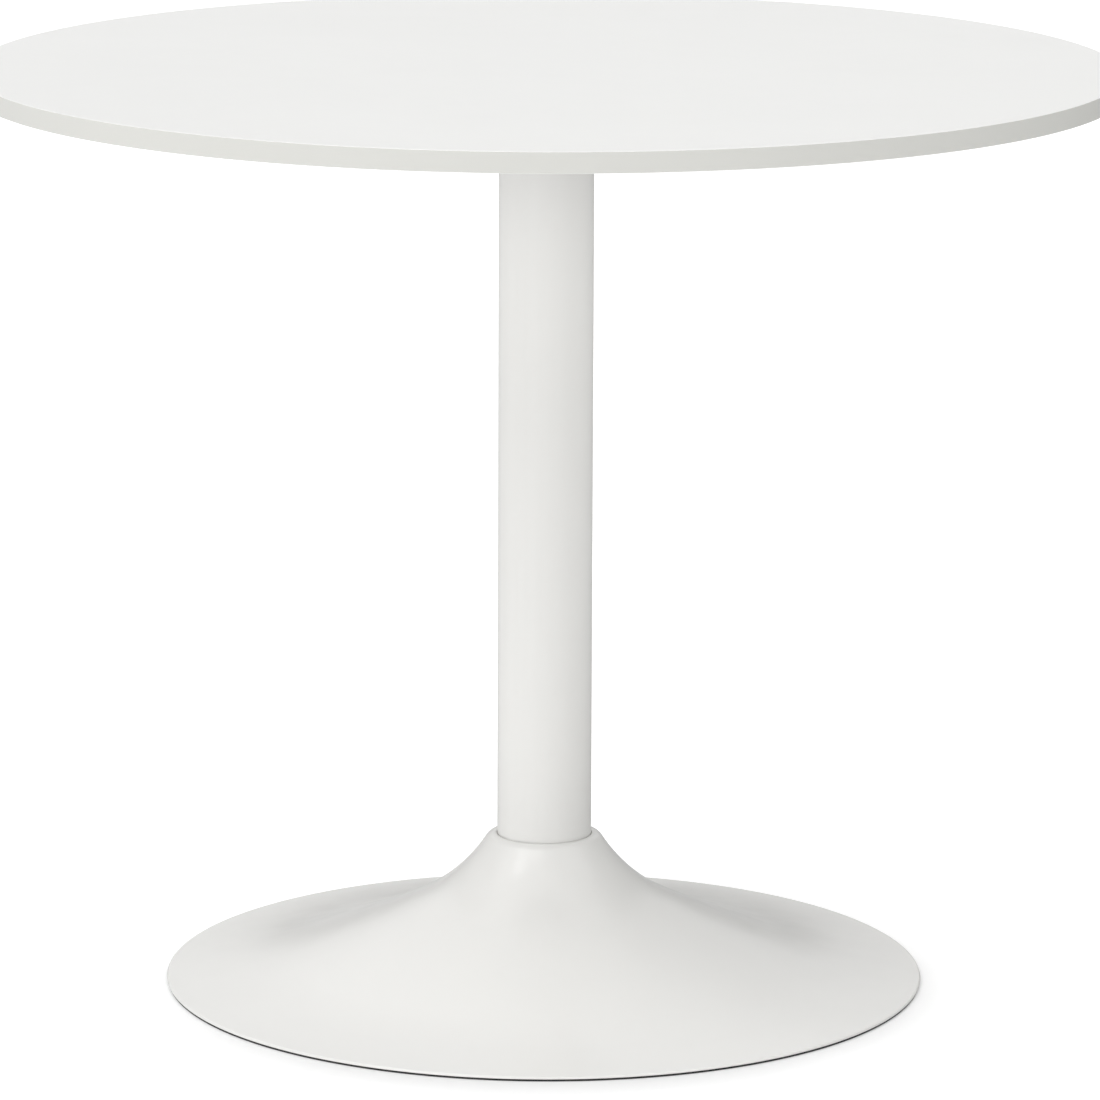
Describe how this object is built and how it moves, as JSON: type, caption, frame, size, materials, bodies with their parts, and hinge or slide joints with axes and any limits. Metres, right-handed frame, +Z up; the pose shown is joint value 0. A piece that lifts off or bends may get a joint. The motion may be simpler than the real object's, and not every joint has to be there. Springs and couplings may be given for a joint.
{
  "type": "round pedestal table",
  "caption": "Round table with a thin white top on a slim round steel column over a low, wide, trumpet-shaped white steel base.",
  "frame": {"origin": "middle of the base, on the floor", "axes": "+Z up the column to the top; the table is round, so +X and +Y are any two level directions at right angles"},
  "size_m": [0.8999, 0.9, 0.735],
  "materials": {
    "top_lacquer": "satin",
    "white_powder_coat": "gloss",
    "black_coat": "satin",
    "grey_coat": "matte",
    "zinc_steel": "satin",
    "bare_steel": "satin",
    "ballast_iron": "matte",
    "white_nylon": "satin",
    "black_rubber": "matte"
  },
  "bodies": {
    "root": {"tabletop": "top_lacquer", "tabletop_inserts": "zinc_steel", "top_plate": "black_coat", "top_plate_washers": "zinc_steel", "top_plate_screws": "zinc_steel", "top_plate_spigot": "black_coat", "top_plate_weld_nut": "bare_steel", "column_tube": "white_powder_coat", "tie_rod": "zinc_steel", "base_shell": "white_powder_coat", "neck_bush": "white_nylon", "seat_flange": "bare_steel", "seat_spigot": "bare_steel", "seat_bolts": "zinc_steel", "seat_washers": "zinc_steel", "seat_nuts": "zinc_steel", "tie_rod_washer": "zinc_steel", "tie_rod_spring_washer": "zinc_steel", "tie_rod_nut": "zinc_steel", "base_pan": "grey_coat", "ballast_ring": "ballast_iron", "pan_screws": "zinc_steel", "edge_ring": "black_rubber"}
  },
  "joints": []
}
